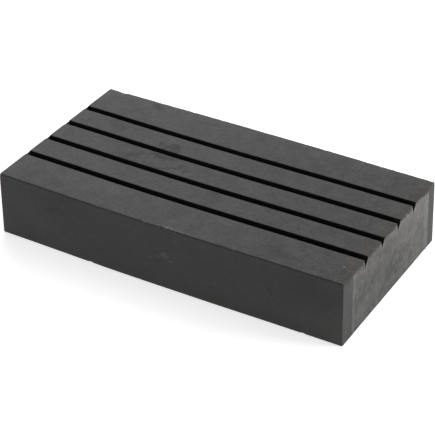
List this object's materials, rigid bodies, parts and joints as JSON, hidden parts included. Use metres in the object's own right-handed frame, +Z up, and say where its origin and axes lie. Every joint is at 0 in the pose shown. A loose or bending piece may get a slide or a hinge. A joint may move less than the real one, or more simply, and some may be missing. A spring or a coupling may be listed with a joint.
{
  "type": "rubber levelling block",
  "caption": "Flat rectangular black rubber block with straight grip grooves along its top, laid under a caravan wheel or jack foot to raise it.",
  "frame": {"origin": "centre of the flat underside, so the block stands on z = 0", "axes": "+X along the grooves and the longest side, +Y across the grooves, +Z up out of the grooved tread"},
  "size_m": [0.3, 0.16, 0.055],
  "materials": {
    "rubber": "matte"
  },
  "bodies": {
    "root": {"rubber_block": "rubber"}
  },
  "joints": []
}
